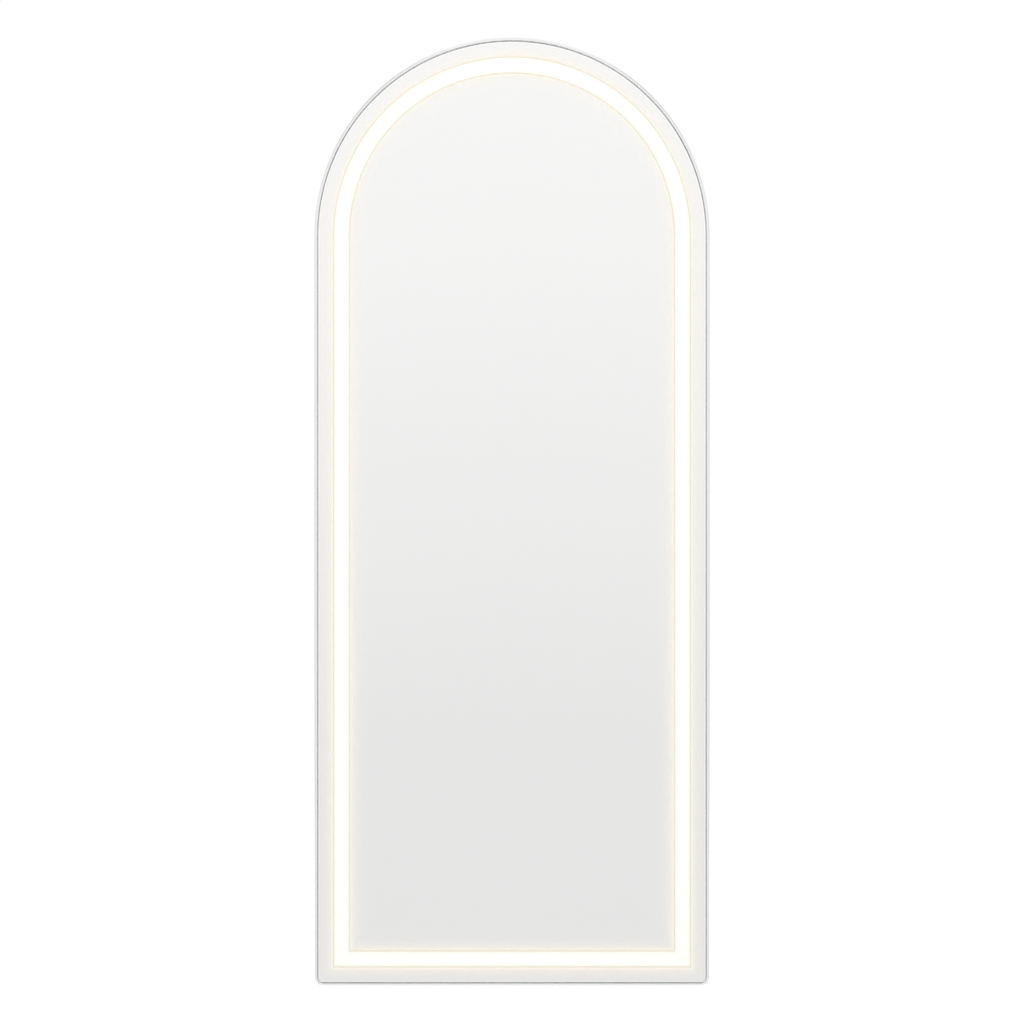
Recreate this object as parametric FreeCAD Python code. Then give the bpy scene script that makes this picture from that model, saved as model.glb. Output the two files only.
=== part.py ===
import FreeCAD, Part
import math
import os

# Arched wall mirror with a band of light behind its glass. Millimetres, +Z up, the front faces -Y.
# The origin lies midway between the two fixing holes of the wall rail, on the wall plane (y = 0).
# Depths are distances from the wall, so a depth d lies at y = -d.
# Insets are distances in from the outer edge of the frame, measured in the plane of the mirror.

# ---- Overall outline ----
width = 500.0
height = 1200.0
corner_radius = 12.0
hang_drop = 200.0                # from the top edge down to the rail's fixing holes

# ---- Glass, silvering and light band ----
glass_thickness = 5.0
glass_edge_gap = 0.5             # dark joint between frame and glass
glass_arris = 0.3
coating_thickness = 0.3
coating_edge = 0.2               # bare glass outside the silvering
coating_air = 0.1                # film between the glass and its layers
band_margin = 19.2               # from the glass edge to the light band
band_width = 22.1
etch_clearance = 0.05
tape_thickness = 1.0
tape_edge = 2.0                  # from the glass edge to the tape
tape_width = 7.0

# ---- Frame section ----
frame_face = 3.5                 # width of the rim seen from the front
frame_proud = 0.5                # rim in front of the glass
bevel_width = 1.7                # outer part of the rim's face, sloped back
bevel_depth = 0.8
lip_depth = 7.0
frame_wall = 2.0
ledge_width = 12.0
ledge_thickness = 1.5
flange_width = 12.0
flange_thickness = 1.5
frame_wall_gap = 2.0             # from the frame's rear edge to the wall
splice_length = 90.0
splice_thickness = 2.5
splice_play = 0.2
splice_screw_spread = 30.0       # from the middle to each screw

# ---- Wall rail and hanging bar ----
rail_length = 340.0
rail_thickness = 2.0
rail_below = 12.0                # from the fixing holes to the rail's lower edge
rail_above = 12.0                # from the fixing holes to the top of the rail's step
rail_lip = 14.0
rail_bend = 2.0                  # from the wall plate's front to the back of the lip
fixing_spacing = 300.0
fixing_hole_radius = 2.75
bar_thickness = 2.0
bar_height = 28.0                # of the plate against the back panel
bar_hook = 10.0                  # reach of the hook behind the rail's lip
bend_radius = 0.8                # inside each bend of the rail and the bar
lip_round = 0.5
bar_front_play = 4.5             # between the rail's lip and the bar's plate
hook_wall_play = 1.4
bar_end_play = 1.0
bar_rivet_count = 4
bar_rivet_margin = 20.0
rivet_radius = 2.4
rivet_head_radius = 4.8
rivet_head_height = 1.4
rivet_tail_radius = 3.6
rivet_tail_height = 3.0

# ---- Back panel ----
panel_thickness = 0.8
panel_edge_play = 0.5
panel_screw_pitch = 269.0        # about; each side of the outline is shared out evenly
panel_screw_inset = 8.0
screw_radius = 1.5
screw_head_radius = 3.0
screw_head_height = 1.8
screw_play = 0.15
panel_screw_length = 6.0
bead_width = 16.0
bead_height = 1.6
bead_slope = 1.6
bead_length = 400.0
bead_spread = 110.0              # from the middle to each upright bead
bead_rise = 330.0                # from the lower edge to the beads' middle
bumper_rise = 70.0
bumper_inset = 62.0
bumper_radius = 9.0
bumper_taper = 1.5
bumper_stem_radius = 2.5
bumper_stem_length = 3.0

# ---- Light channel ----
channel_wall = 1.0
channel_clearance = 0.5          # from the band's edge to the channel's inner face
diffuser_thickness = 2.0
diffuser_air = 0.1
clip_thickness = 0.8
clip_length = 16.0
clip_play = 0.3
clip_leg = 7.0
clip_pitch = 210.0               # about
strip_width = 10.0
strip_thickness = 0.3
strip_floor_gap = 1.5
chip_length = 3.5
chip_width = 2.8
chip_height = 0.7
chip_pitch = 33.3                # about
chip_solder = 0.05
connector_length = 16.0
connector_height = 12.0
connector_thickness = 4.0

# ---- Driver ----
driver_length = 180.0
driver_height = 42.0
driver_thickness = 16.5
driver_round = 2.5
driver_glass_play = 1.3
driver_drop = 320.0              # from the fixing holes to the driver's middle
cap_length = 18.0
cap_shell = 1.0
ear_length = 12.0
ear_thickness = 3.0
ear_width = 22.0
driver_screw_radius = 1.75
driver_screw_head_radius = 3.5
driver_screw_tip = 1.5

# ---- Wiring box ----
box_drop = 165.0                 # from the fixing holes to the box's middle
box_width = 120.0
box_height = 68.0
box_wall = 2.0
box_depth = 14.5                 # from the back panel's front to the box's floor
box_play = 0.5
box_corner = 4.0
lid_round = 0.8
box_flange = 10.0
box_flange_thickness = 2.0
lid_thickness = 2.0
lid_rim = 2.5
lid_rim_play = 0.3
box_screw_length = 7.0
block_length = 34.0
block_width = 20.0
block_height = 12.0
block_offset = -24.0             # across, from the box's middle
pole_count = 3
pole_pitch = 10.0
pole_screw_radius = 2.0
pole_bore_radius = 1.6
pole_depth = 5.0                 # from the block's rear face to its bores
clamp_offset = 18.0
clamp_length = 30.0
clamp_width = 9.0
clamp_thickness = 2.5
clamp_post_height = 7.0
clamp_post_radius = 3.5
supply_cable_radius = 4.0
grommet_offset = 40.0
grommet_hole_radius = 8.0
grommet_bore_radius = 4.5
grommet_rim_radius = 10.5
grommet_rim_height = 1.6

# ---- Leads ----
input_lead_radius = 3.0
output_lead_radius = 2.2
earth_lead_radius = 1.4
bush_rim = 1.6
bush_wall = 1.2
lead_play = 0.2
stud_radius = 2.0
stud_length = 9.0
stud_across = -92.0
stud_drop = 218.0
nut_radius = 3.6
nut_height = 3.2

# ---- Small round forms ----
small_sides = 8                  # flat sides of small round holes, shanks, heads and leads

# ---- Derived places ----
arch_radius = width / 2
top_z = hang_drop
bottom_z = top_z - height
arch_z = top_z - arch_radius
glass_inset = frame_face + glass_edge_gap
band_outer = glass_inset + band_margin
band_inner = band_outer + band_width
ledge_inner = frame_wall + ledge_width
flange_inner = frame_wall + flange_width
panel_inset = frame_wall + panel_edge_play

rail_lip_back = rail_thickness + rail_bend
rail_lip_front = rail_lip_back + rail_thickness
rail_top = rail_above + rail_lip
hook_back = hook_wall_play
hook_front = hook_back + bar_thickness
bar_front = rail_lip_front + bar_front_play + bar_thickness
bar_back = bar_front - bar_thickness

panel_back = bar_front
panel_front = panel_back + panel_thickness
coating_back = panel_front + driver_thickness + driver_glass_play
coating_front = coating_back + coating_thickness
glass_back = coating_front + coating_air
glass_front = glass_back + glass_thickness
frame_front = glass_front + frame_proud
ledge_front = coating_back - tape_thickness
ledge_back = ledge_front - ledge_thickness
flange_front = panel_front + flange_thickness

channel_inner_wall = band_inner + channel_clearance
channel_outer_wall = band_outer - channel_clearance
channel_outer = channel_outer_wall - channel_wall
channel_inner = channel_inner_wall + channel_wall
channel_middle = (channel_outer + channel_inner) / 2
channel_back = panel_front + clip_thickness
channel_floor = channel_back + channel_wall
diffuser_front = coating_back - diffuser_air
diffuser_back = diffuser_front - diffuser_thickness
strip_back = channel_floor + strip_floor_gap
strip_inner = channel_outer_wall + strip_thickness

driver_z = -driver_drop
box_z = -box_drop
box_floor_back = panel_front + box_depth
flange_back = panel_back - box_flange_thickness
lid_back = flange_back - lid_thickness
lead_depth = channel_floor + output_lead_radius + bush_wall + bush_rim + lead_play
driver_lead_depth = panel_front + driver_thickness / 2
block_back = box_floor_back - block_height
block_depth = block_back + pole_depth
splice_back = flange_front + splice_play
splice_front = ledge_back - splice_play
splice_middle = (splice_back + splice_front) / 2


# ---- Drawing and solid helpers ----
def at(x, z, depth=0.0):
    """Point across and up the mirror, at a depth from the wall."""
    return FreeCAD.Vector(x, -depth, z)


def line(start, end):
    """Straight edge between two (x, z) points."""
    return Part.LineSegment(at(*start), at(*end)).toShape()


def arc(start, middle, end):
    """Round edge through three (x, z) points."""
    return Part.Arc(at(*start), at(*middle), at(*end)).toShape()


def outline_edges(inset):
    """Edges of the mirror's outline at an inset, counter-clockwise from the right end of the arch."""
    half = arch_radius - inset
    foot = bottom_z + inset
    corner = max(corner_radius - inset, 0.0)
    edges = [
        arc((half, arch_z), (0, arch_z + half), (-half, arch_z)),
        line((-half, arch_z), (-half, foot + corner)),
        line((-half + corner, foot), (half - corner, foot)),
        line((half, foot + corner), (half, arch_z)),
    ]
    if corner:
        short = corner * (1 - math.sqrt(0.5))
        left = arc((-half, foot + corner), (-half + short, foot + short), (-half + corner, foot))
        right = arc((half - corner, foot), (half - short, foot + short), (half, foot + corner))
        edges = edges[:2] + [left, edges[2], right, edges[3]]
    return edges


def outline(inset):
    """Closed outline of the mirror at an inset."""
    return Part.Wire(outline_edges(inset))


def stations(inset, pitch):
    """Places along the arch, the sides and the foot, evenly spread on each about a pitch apart.

    Each is x, z and the direction straight inward."""
    places = []
    for edge in outline_edges(inset):
        count = round(edge.Length / pitch)
        for i in range(count):
            parameter = edge.getParameterByLength(edge.Length * (i + 0.5) / count)
            point = edge.valueAt(parameter)
            tangent = edge.tangentAt(parameter)
            places.append((point.x, point.z, math.atan2(tangent.x, -tangent.z)))
    return places


def small_round(radius):
    """Corners of a small round outline, as (first, second) pairs; its few sides keep what repeats light."""
    turn = math.tau / small_sides
    return [(radius * math.cos(turn * i), radius * math.sin(turn * i)) for i in range(small_sides + 1)]


def circle(x, z, radius):
    """Outline of a small hole or shank square to the wall."""
    return Part.makePolygon([at(x + across, z + up) for across, up in small_round(radius)])


def rectangle(x, z, across, up):
    """Rectangular outline about its middle."""
    left, right = x - across / 2, x + across / 2
    low, high = z - up / 2, z + up / 2
    corners = [at(left, low), at(right, low), at(right, high), at(left, high), at(left, low)]
    return Part.makePolygon(corners)


def round_ended(x, z, across, up):
    """Upright slot outline with half-round ends."""
    radius = across / 2
    reach = up / 2 - radius
    return Part.Wire([
        arc((x + radius, z + reach), (x, z + reach + radius), (x - radius, z + reach)),
        line((x - radius, z + reach), (x - radius, z - reach)),
        arc((x - radius, z - reach), (x, z - reach - radius), (x + radius, z - reach)),
        line((x + radius, z - reach), (x + radius, z + reach)),
    ])


def rounded_rectangle(x, z, across, up, radius):
    """Rectangular outline about its middle with round corners."""
    left, right = x - across / 2, x + across / 2
    low, high = z - up / 2, z + up / 2
    short = radius * (1 - math.sqrt(0.5))
    return Part.Wire([
        line((left + radius, low), (right - radius, low)),
        arc((right - radius, low), (right - short, low + short), (right, low + radius)),
        line((right, low + radius), (right, high - radius)),
        arc((right, high - radius), (right - short, high - short), (right - radius, high)),
        line((right - radius, high), (left + radius, high)),
        arc((left + radius, high), (left + short, high - short), (left, high - radius)),
        line((left, high - radius), (left, low + radius)),
        arc((left, low + radius), (left + short, low + short), (left + radius, low)),
    ])


def plate(wires, back, front):
    """Flat piece between two depths, from an outline and the outlines of its holes."""
    face = Part.makeFace(wires, "Part::FaceMakerBullseye")
    face.translate(at(0, 0, back))
    solid = face.extrude(at(0, 0, front - back))
    return solid.Solids[0] if len(solid.Solids) == 1 else solid


def band(outer_inset, inner_inset, back, front):
    """Ring that follows the mirror's outline between two insets and two depths."""
    return plate([outline(outer_inset), outline(inner_inset)], back, front)


def tapered(back_outline, back, front_outline, front):
    """Solid with straight sloped sides between two outlines at two depths."""
    back_outline.translate(at(0, 0, back))
    front_outline.translate(at(0, 0, front))
    return Part.makeLoft([back_outline, front_outline], True, True)


def peg(x, z, radius, back, front):
    """Small round bar square to the wall."""
    return plate([circle(x, z, radius)], back, front)


def peg_across(radius, x_from, x_to, depth, z):
    """Small round bar along X."""
    start = min(x_from, x_to)
    ring = Part.makePolygon([at(start, z + up, depth + out) for out, up in small_round(radius)])
    return Part.Face(ring).extrude(FreeCAD.Vector(abs(x_to - x_from), 0, 0))


def drill(x, z, radius, back, front):
    """Full cylinder square to the wall."""
    return Part.makeCylinder(radius, front - back, at(x, z, back), FreeCAD.Vector(0, -1, 0))


def block(x, z, across, up, back, front):
    """Rectangular block about its middle, between two depths."""
    return plate([rectangle(x, z, across, up)], back, front)


def turned(profile, x, z, back):
    """Piece turned about an axis square to the wall, from (radius, distance) points off a depth."""
    points = [FreeCAD.Vector(radius, -distance, 0) for radius, distance in profile]
    face = Part.Face(Part.makePolygon(points + points[:1]))
    solid = face.revolve(FreeCAD.Vector(0, 0, 0), FreeCAD.Vector(0, 1, 0), 360)
    solid.translate(at(x, z, back))
    return solid


def fused(pieces):
    """One solid from pieces that touch or overlap."""
    return pieces[0].multiFuse(pieces[1:]).removeSplitter()


def edges_at_depth(solid, depth):
    """Edges of a solid that lie flat at a depth."""
    return [edge for edge in solid.Edges
            if abs(edge.BoundBox.YMin + depth) < 1e-6 and abs(edge.BoundBox.YMax + depth) < 1e-6]


def edges_along(solid, places):
    """Edges along X through (depth, z) places."""
    return [edge for edge in solid.Edges if edge.BoundBox.XLength > 1
            for depth, z in places
            if edge.BoundBox.Center.sub(at(edge.BoundBox.Center.x, z, depth)).Length < 1e-6]


def placed(shape, x, z, angle):
    """Copy of a shape drawn at the origin, turned in the mirror's plane and moved to its place."""
    copy = shape.copy()
    turn = FreeCAD.Rotation(FreeCAD.Vector(0, 1, 0), math.degrees(-angle))
    copy.Placement = FreeCAD.Placement(at(x, z), turn)
    return copy


def screw(x, z, seat, length, shank, head, height, forward=True):
    """Plain screw; its shank runs forward from the seat, or back towards the wall."""
    if forward:
        return fused([peg(x, z, head, seat - height, seat), peg(x, z, shank, seat, seat + length)])
    return fused([peg(x, z, head, seat, seat + height), peg(x, z, shank, seat - length, seat)])


def route(points, bend_share=0.45):
    """Path of straight runs and tangent arcs through a lead's points; prints its smallest bend."""
    edges = []
    start = points[0]
    smallest = math.inf
    for before, corner, after in zip(points, points[1:], points[2:]):
        run_in, run_out = corner - before, after - corner
        half_turn = run_in.getAngle(run_out) / 2
        setback = bend_share * min(run_in.Length, run_out.Length)
        smallest = min(smallest, setback / math.tan(half_turn))
        run_in.normalize()
        run_out.normalize()
        entry, leave = corner - run_in * setback, corner + run_out * setback
        radius = setback / math.tan(half_turn)
        to_centre = (run_out - run_in).normalize()
        centre = corner + to_centre * (radius / math.cos(half_turn))
        middle = centre - to_centre * radius
        edges.append(Part.LineSegment(start, entry).toShape())
        edges.append(Part.Arc(entry, middle, leave).toShape())
        start = leave
    edges.append(Part.LineSegment(start, points[-1]).toShape())
    return Part.Wire(edges), smallest


def lead(name, points, radius):
    """Lead along its route, which starts and ends along X."""
    path, smallest = route(points)
    start = points[0]
    ring = Part.makePolygon([start + at(0, up, out) for out, up in small_round(radius)])
    solid = path.makePipeShell([ring], True, False)
    expected = Part.Face(ring).Area * path.Length
    print(f"{name}: {path.Length:.0f} mm long, smallest bend {smallest:.1f} mm, "
          f"volume {solid.Volume / expected:.4f} of section times length")
    return solid


def bush(x, depth, z, wall, bore):
    """Rubber bush round a lead that goes through an upright wall square to X."""
    outer = bore + bush_wall
    rim = outer + bush_rim
    near, far = x - bush_rim, x + wall + bush_rim
    steps = [peg_across(rim, near, x, depth, z), peg_across(outer, x, x + wall, depth, z),
             peg_across(rim, x + wall, far, depth, z)]
    return fused(steps).cut(peg_across(bore, near - 1, far + 1, depth, z))


# ---- Glass and its layers ----
def mirror_glass():
    sheet = plate([outline(glass_inset)], glass_back, glass_front)
    rims = edges_at_depth(sheet, glass_back) + edges_at_depth(sheet, glass_front)
    return sheet.makeChamfer(glass_arris, rims)


def silver_coating():
    border = band(glass_inset + coating_edge, band_outer, coating_back, coating_front)
    field = plate([outline(band_inner)], coating_back, coating_front)
    return Part.makeCompound([border, field])


def frosted_band():
    return band(band_outer + etch_clearance, band_inner - etch_clearance, coating_back, coating_front)


def bonding_tape():
    outer = glass_inset + tape_edge
    return band(outer, outer + tape_width, ledge_front, coating_back)


# ---- Frame ----
def outer_frame():
    """Bent section: a rim with a sloped face, a side wall, a ledge for the glass and a flange behind."""
    bevel_back = frame_front - bevel_depth
    section = [
        band(0, frame_face, frame_front - lip_depth, bevel_back),
        tapered(outline(0), bevel_back, outline(bevel_width), frame_front)
        .cut(plate([outline(frame_face)], bevel_back, frame_front)),
        band(0, frame_wall, frame_wall_gap, bevel_back),
        band(frame_wall, ledge_inner, ledge_back, ledge_front),
        band(frame_wall, flange_inner, panel_front, flange_front),
    ]
    frame = fused(section)
    holes = [peg(x, z, screw_radius + screw_play, panel_front, flange_front)
             for x, z, _ in stations(panel_screw_inset, panel_screw_pitch)]
    holes += [splice_hole(side) for side in (-1, 1)]
    return frame.cut(holes)


def splice_hole(side):
    """Hole up through the bottom of the frame and its splice, for one screw."""
    return upright_peg(side * splice_screw_spread, screw_radius + screw_play, bottom_z - 1,
                       bottom_z + frame_wall + splice_thickness + 2)


def upright_peg(x, radius, low, high):
    """Small round bar along Z, in the middle of the splice's depth."""
    ring = Part.makePolygon([at(x + across, low, splice_middle + out) for across, out in small_round(radius)])
    return Part.Face(ring).extrude(at(0, high - low))


def frame_splice():
    low = bottom_z + frame_wall
    bar = block(0, low + splice_thickness / 2, splice_length, splice_thickness,
                splice_back, splice_front)
    return bar.cut([splice_hole(side) for side in (-1, 1)])


def splice_screws():
    """Countersunk set screws, flush with the bottom of the frame."""
    tip = bottom_z + frame_wall + splice_thickness + 2
    return Part.makeCompound([upright_peg(side * splice_screw_spread, screw_radius, bottom_z, tip)
                              for side in (-1, 1)])


# ---- Back panel ----
def bead(x, z, shrink, back, front):
    """Pressed bead with sloped sides, wider towards the mirror."""
    wide = round_ended(x, z, bead_width - shrink, bead_length - shrink)
    narrow = round_ended(x, z, bead_width - shrink - 2 * bead_slope, bead_length - shrink - 2 * bead_slope)
    return tapered(narrow, back, wide, front)


def rivet_places():
    """Where the rivets go along the hanging bar."""
    reach = rail_length / 2 - bar_rivet_margin
    step = 2 * reach / (bar_rivet_count - 1)
    z = rail_top + bar_thickness + (bar_height - bar_thickness) / 2
    return [(-reach + step * i, z) for i in range(bar_rivet_count)]


def box_screw_places():
    """The four corners of the wiring box's flange."""
    across = box_width / 2 + box_flange / 2
    up = box_height / 2 + box_flange / 2
    return [(sx * across, box_z + sz * up) for sx in (-1, 1) for sz in (-1, 1)]


def driver_screw_places():
    """The middle of each fixing ear."""
    across = driver_length / 2 + cap_shell + ear_length / 2
    return [(side * across, driver_z) for side in (-1, 1)]


def bumper_places():
    across = arch_radius - bumper_inset
    return [(side * across, bottom_z + bumper_rise) for side in (-1, 1)]


def back_panel():
    holes = [circle(x, z, screw_radius + screw_play)
             for x, z, _ in stations(panel_screw_inset, panel_screw_pitch)]
    holes += [circle(x, z, rivet_radius) for x, z in rivet_places()]
    holes += [circle(x, z, screw_radius + screw_play) for x, z in box_screw_places()]
    holes += [circle(x, z, driver_screw_radius + screw_play) for x, z in driver_screw_places()]
    holes += [circle(x, z, bumper_stem_radius) for x, z in bumper_places()]
    holes.append(circle(stud_across, -stud_drop, stud_radius))
    holes.append(rectangle(0, box_z, box_width + 2 * box_play, box_height + 2 * box_play))
    sheet = plate([outline(panel_inset)] + holes, panel_back, panel_front)
    bead_z = bottom_z + bead_rise
    outside = [bead(side * bead_spread, bead_z, 0, panel_back - bead_height, panel_back)
               for side in (-1, 1)]
    inside = [bead(side * bead_spread, bead_z, 2 * panel_thickness,
                   panel_back - bead_height + panel_thickness, panel_front)
              for side in (-1, 1)]
    return sheet.fuse(outside).cut(inside).removeSplitter()


def back_panel_screws():
    return Part.makeCompound([
        screw(x, z, panel_back, panel_screw_length, screw_radius, screw_head_radius, screw_head_height)
        for x, z, _ in stations(panel_screw_inset, panel_screw_pitch)
    ])


def wall_bumpers():
    """Tapered rubber buffers, each with a stem through the panel."""
    foot = [(0, 0), (bumper_radius - bumper_taper, 0), (bumper_radius, panel_back), (0, panel_back)]
    return Part.makeCompound([
        fused([turned(foot, x, z, 0),
               peg(x, z, bumper_stem_radius, panel_back, panel_back + bumper_stem_length)])
        for x, z in bumper_places()
    ])


# ---- Light channel ----
entry_near = arch_radius - channel_inner - 1
entry_far = arch_radius - channel_inner_wall + 1
bush_hole = output_lead_radius + bush_wall


def led_channel():
    section = [
        band(channel_outer, channel_outer_wall, channel_back, diffuser_back),
        band(channel_outer, channel_inner, channel_back, channel_floor),
        band(channel_inner_wall, channel_inner, channel_back, diffuser_back),
    ]
    return fused(section).cut(peg_across(bush_hole, entry_near, entry_far, lead_depth, driver_z))


def channel_clips():
    """Spring clips spot-welded to the back panel, their legs up both sides of the channel."""
    reach = (channel_inner - channel_outer) / 2 + clip_play
    across = 2 * (reach + clip_thickness)
    foot = block(0, 0, across, clip_length, panel_front, channel_back)
    legs = [block(side * (reach + clip_thickness / 2), 0, clip_thickness, clip_length,
                  panel_front, channel_back + clip_leg) for side in (-1, 1)]
    clip = fused([foot] + legs)
    return Part.makeCompound([placed(clip, x, z, angle)
                              for x, z, angle in stations(channel_middle, clip_pitch)])


def strip_break(back, front):
    """The stretch on the right where the strip begins and ends, under its connector."""
    x = arch_radius - channel_outer_wall
    return block(x, driver_z, 4 * connector_thickness, connector_length / 2, back, front)


def led_strip():
    strip = band(channel_outer_wall, strip_inner, strip_back, strip_back + strip_width)
    return strip.cut(strip_break(strip_back - 1, strip_back + strip_width + 1)).Solids[0]


def led_chips():
    middle = strip_back + strip_width / 2
    chip = block(chip_solder + chip_height / 2, 0, chip_height, chip_length,
                 middle - chip_width / 2, middle + chip_width / 2)
    keep_off = (connector_length + chip_length) / 2 + 1
    return Part.makeCompound([
        placed(chip, x, z, angle) for x, z, angle in stations(strip_inner, chip_pitch)
        if x < 0 or abs(z - driver_z) > keep_off
    ])


def strip_connector():
    """Clip on the strip's ends, bored for the lead."""
    outer = arch_radius - strip_inner
    depth = strip_back + strip_width / 2
    body = block(outer - connector_thickness / 2, driver_z, connector_thickness, connector_length,
                 depth - connector_height / 2, depth + connector_height / 2)
    return body.cut(peg_across(output_lead_radius, outer - connector_thickness - 1,
                               outer - connector_thickness / 2, lead_depth, driver_z))


def diffuser():
    return band(channel_outer, channel_inner, diffuser_back, diffuser_front)


# ---- Driver ----
def led_driver():
    case = block(0, driver_z, driver_length, driver_height, panel_front, panel_front + driver_thickness)
    along = [edge for edge in case.Edges if edge.BoundBox.XLength > driver_length / 2
             and edge.BoundBox.YMin < -panel_front - driver_thickness / 2]
    return case.makeFillet(driver_round, along)


def driver_end_caps():
    """Moulded end covers over the case, each with a slotted ear and a way for its lead."""
    caps = []
    for side, radius in ((-1, input_lead_radius), (1, output_lead_radius)):
        tip = side * (driver_length / 2 + cap_shell)
        root = side * (driver_length / 2 - cap_length)
        ear_x = side * (driver_length / 2 + cap_shell + ear_length / 2)
        shell = block((tip + root) / 2, driver_z, cap_length + cap_shell, driver_height + 2 * cap_shell,
                      panel_front, panel_front + driver_thickness + cap_shell)
        along = [edge for edge in shell.Edges if edge.BoundBox.XLength > cap_length / 2
                 and edge.BoundBox.YMin < -panel_front - driver_thickness / 2]
        shell = shell.makeFillet(driver_round + cap_shell, along)
        ear = block(ear_x, driver_z, ear_length, ear_width, panel_front, panel_front + ear_thickness)
        hole = peg(ear_x, driver_z, driver_screw_radius + screw_play, panel_front, panel_front + ear_thickness)
        way = peg_across(radius + lead_play, tip - 2 * cap_shell, tip + 2 * cap_shell, driver_lead_depth,
                         driver_z)
        caps.append(fused([shell, ear]).cut([hole, way, led_driver()]))
    return Part.makeCompound(caps)


def driver_screws():
    seat = panel_front + ear_thickness
    length = seat - panel_back + driver_screw_tip
    return Part.makeCompound([
        screw(x, z, seat, length, driver_screw_radius, driver_screw_head_radius, screw_head_height, False)
        for x, z in driver_screw_places()
    ])


# ---- Wiring box ----
def flange_outline():
    """Outline that the box's flange and its lid share."""
    return rounded_rectangle(0, box_z, box_width + 2 * box_flange, box_height + 2 * box_flange, box_corner)


def terminal_box_base():
    """Tray set into the back panel, its flange on the panel's rear face."""
    floor_front = box_floor_back + box_wall
    tray = block(0, box_z, box_width, box_height, flange_back, floor_front)
    rim = plate([flange_outline()], flange_back, panel_back)
    hollow = block(0, box_z, box_width - 2 * box_wall, box_height - 2 * box_wall, flange_back, box_floor_back)
    body = fused([tray, rim]).cut(hollow)
    posts = [peg(clamp_offset, box_z + side * (clamp_length - clamp_width) / 2, clamp_post_radius,
                 box_floor_back - clamp_post_height, box_floor_back) for side in (-1, 1)]
    body = fused([body] + posts)
    holes = [peg(x, z, screw_radius + screw_play, flange_back, panel_back) for x, z in box_screw_places()]
    holes += [peg(clamp_offset, box_z + side * (clamp_length - clamp_width) / 2, screw_radius,
                  box_floor_back - clamp_post_height, box_floor_back - 1) for side in (-1, 1)]
    left = -box_width / 2
    holes.append(peg_across(input_lead_radius + bush_wall, left - 1, left + box_wall + 1,
                            block_depth, box_z + pole_pitch))
    holes.append(peg_across(earth_lead_radius + lead_play, left - 1, left + box_wall + 1,
                            block_depth, box_z - pole_pitch))
    return body.cut(holes)


def terminal_box_lid():
    """Cover with a locating rim inside the tray and a round hole for the supply cable's bush."""
    cover = plate([flange_outline()], lid_back, flange_back)
    cover = cover.makeChamfer(lid_round, edges_at_depth(cover, lid_back))
    rim_across = box_width - 2 * (box_wall + lid_rim_play)
    rim_up = box_height - 2 * (box_wall + lid_rim_play)
    rim_outer = rectangle(0, box_z, rim_across, rim_up)
    rim_inner = rectangle(0, box_z, rim_across - 2 * box_wall, rim_up - 2 * box_wall)
    rim = plate([rim_outer, rim_inner], flange_back, flange_back + lid_rim)
    holes = [peg(x, z, screw_radius + screw_play, lid_back, flange_back) for x, z in box_screw_places()]
    holes.append(drill(grommet_offset, box_z, grommet_hole_radius, lid_back, flange_back))
    return fused([cover, rim]).cut(holes)


def terminal_box_screws():
    return Part.makeCompound([
        screw(x, z, lid_back, box_screw_length, screw_radius, screw_head_radius, screw_head_height)
        for x, z in box_screw_places()
    ])


def terminal_block():
    """Moulded block with a bore across it and a screw well from behind for each pole."""
    body = block(block_offset, box_z, block_width, block_length, block_back, box_floor_back)
    bores = []
    for pole in range(pole_count):
        z = box_z + (pole - (pole_count - 1) / 2) * pole_pitch
        right = block_offset + block_width / 2
        bores.append(peg_across(pole_bore_radius, right - block_width / 3, right + 1, block_depth, z))
        for side in (-1, 1):
            bores.append(peg(block_offset + side * block_width / 4, z, pole_screw_radius,
                             block_back, block_depth))
    return body.cut(bores)


def terminal_screws():
    """Brass clamping screws, each at the bottom of its well."""
    screws = []
    for pole in range(pole_count):
        z = box_z + (pole - (pole_count - 1) / 2) * pole_pitch
        for side in (-1, 1):
            screws.append(peg(block_offset + side * block_width / 4, z, pole_screw_radius - screw_play,
                              block_back + 1, block_depth))
    return Part.makeCompound(screws)


def cable_clamp():
    """Saddle across the supply cable, on two posts of the box's floor."""
    seat = box_floor_back - clamp_post_height
    bar = block(clamp_offset, box_z, clamp_width, clamp_length, seat - clamp_thickness, seat)
    throat = peg_across(supply_cable_radius, clamp_offset - clamp_width, clamp_offset + clamp_width,
                        seat + supply_cable_radius * 0.6, box_z)
    holes = [peg(clamp_offset, box_z + side * (clamp_length - clamp_width) / 2, screw_radius + screw_play,
                 seat - clamp_thickness, seat) for side in (-1, 1)]
    return bar.cut([throat] + holes)


def clamp_screws():
    seat = box_floor_back - clamp_post_height - clamp_thickness
    return Part.makeCompound([
        screw(clamp_offset, box_z + side * (clamp_length - clamp_width) / 2, seat,
                  clamp_thickness + clamp_post_height - 1.5, screw_radius, screw_head_radius,
                  screw_head_height)
        for side in (-1, 1)
    ])


def cable_grommet():
    """Rubber bush in the lid; the supply cable passes its bore."""
    profile = [
        (grommet_bore_radius, -grommet_rim_height), (grommet_rim_radius, -grommet_rim_height),
        (grommet_rim_radius, 0), (grommet_hole_radius, 0), (grommet_hole_radius, lid_thickness),
        (grommet_rim_radius, lid_thickness), (grommet_rim_radius, lid_thickness + grommet_rim_height),
        (grommet_bore_radius, lid_thickness + grommet_rim_height),
    ]
    return turned(profile, grommet_offset, box_z, lid_back)


# ---- Leads ----
def output_lead():
    start = driver_length / 2
    end = arch_radius - strip_inner - connector_thickness / 2
    near_wall = arch_radius - channel_inner
    z = driver_z
    level = driver_lead_depth
    points = [
        at(start, z, level), at(start + 40, z, level), at(near_wall - 25, z, lead_depth),
        at(end, z, lead_depth),
    ]
    return lead("output_lead", points, output_lead_radius)


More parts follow.
